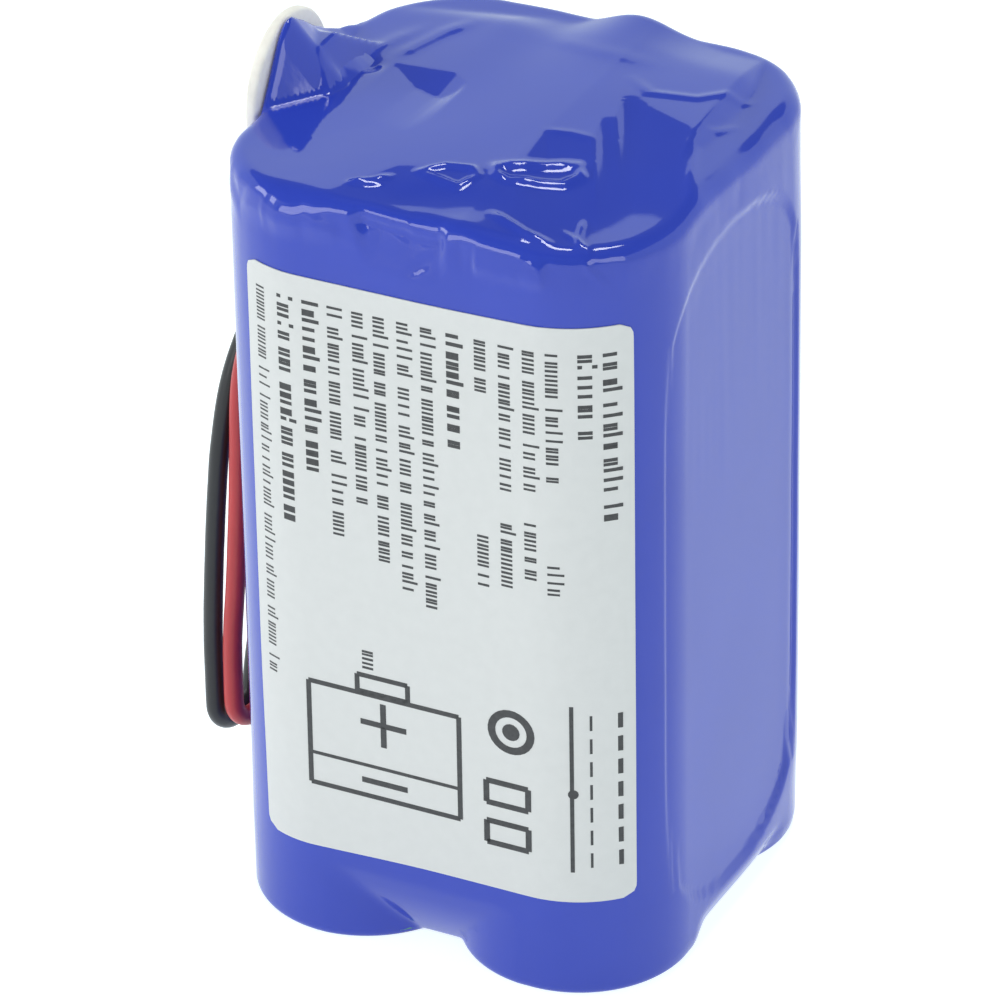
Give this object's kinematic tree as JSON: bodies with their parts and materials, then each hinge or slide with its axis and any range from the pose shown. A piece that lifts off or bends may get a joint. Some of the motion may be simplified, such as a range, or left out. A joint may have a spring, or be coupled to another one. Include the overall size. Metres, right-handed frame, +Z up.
{
  "type": "battery pack",
  "caption": "Rechargeable pack of round cells in a square block, wrapped in glossy blue shrink film with a front label and flying leads folded beside the left flank.",
  "frame": {"origin": "centre of the resting face under the cell block", "axes": "+X right along the labelled face, +Y from the labelled face to the back, +Z up along the cells"},
  "size_m": [0.0453, 0.0377, 0.072],
  "materials": {
    "film_blue": "glossy thin shrink film, deep blue",
    "label_white": "white satin label stock with grey print bars",
    "pad_off_white": "off-white matt pad",
    "fish_paper": "stiff insulating paper",
    "polyimide_amber": "amber insulating sleeve",
    "board_green": "green solder mask",
    "chip_black": "black moulding compound",
    "capacitor_ceramic": "tan ceramic",
    "solder": "bright solder",
    "nickel": "rolled nickel strip",
    "hot_melt": "translucent hot-melt adhesive",
    "cell_steel": "nickel-plated steel",
    "cell_sleeve": "thin plastic sleeve",
    "cell_cap": "nickel-plated steel",
    "gasket_plastic": "polypropylene gasket",
    "washer_paper": "white insulating washer",
    "electrode_roll": "wound foil roll, dark edge",
    "jacket_red": "satin red wire jacket",
    "jacket_black": "satin black wire jacket",
    "copper": "stranded bare copper",
    "tinned_copper": "tinned strands"
  },
  "bodies": {
    "pack": {"shrink_film": "film_blue", "front_label": "label_white", "lead_exit_pad": "pad_off_white", "top_insulator": "fish_paper", "bottom_insulator": "fish_paper", "board_insulator": "fish_paper", "tap_sleeve": "polyimide_amber", "protection_board": "board_green", "power_switches": "chip_black", "protection_chip": "chip_black", "chip_resistors": "chip_black", "chip_capacitors": "capacitor_ceramic", "solder_joints": "solder", "nickel_strip_positive": "nickel", "nickel_strip_negative": "nickel", "nickel_series_plate": "nickel", "nickel_centre_tap": "nickel", "hot_melt_plugs": "hot_melt", "can_front_left": "cell_steel", "sleeve_front_left": "cell_sleeve", "cap_front_left": "cell_cap", "gasket_front_left": "gasket_plastic", "washer_front_left": "washer_paper", "electrode_roll_front_left": "electrode_roll", "can_front_right": "cell_steel", "sleeve_front_right": "cell_sleeve", "cap_front_right": "cell_cap", "gasket_front_right": "gasket_plastic", "washer_front_right": "washer_paper", "electrode_roll_front_right": "electrode_roll", "can_rear_left": "cell_steel", "sleeve_rear_left": "cell_sleeve", "cap_rear_left": "cell_cap", "gasket_rear_left": "gasket_plastic", "washer_rear_left": "washer_paper", "electrode_roll_rear_left": "electrode_roll", "can_rear_right": "cell_steel", "sleeve_rear_right": "cell_sleeve", "cap_rear_right": "cell_cap", "gasket_rear_right": "gasket_plastic", "washer_rear_right": "washer_paper", "electrode_roll_rear_right": "electrode_roll", "red_jacket_exit": "jacket_red", "red_core_exit": "copper", "black_jacket_exit": "jacket_black", "black_core_exit": "copper"},
    "leads_down": {"red_jacket_down": "jacket_red", "red_core_down": "copper", "black_jacket_down": "jacket_black", "black_core_down": "copper"},
    "leads_return": {"red_jacket_return": "jacket_red", "red_core_return": "copper", "red_tinned_end": "tinned_copper", "black_jacket_return": "jacket_black", "black_core_return": "copper", "black_tinned_end": "tinned_copper"}
  },
  "joints": [
    {"name": "lead_swing", "type": "hinge", "parent": "pack", "child": "leads_down", "pos_m": [-0.0199, -0.00135, 0.0549], "axis": [0, 1, 0], "range_deg": [0, 90]},
    {"name": "lead_unfold", "type": "hinge", "parent": "leads_down", "child": "leads_return", "pos_m": [-0.02433, -0.00267, 0.0076], "axis": [-0.9848, 0.1736, 0], "range_deg": [0, 120]}
  ]
}
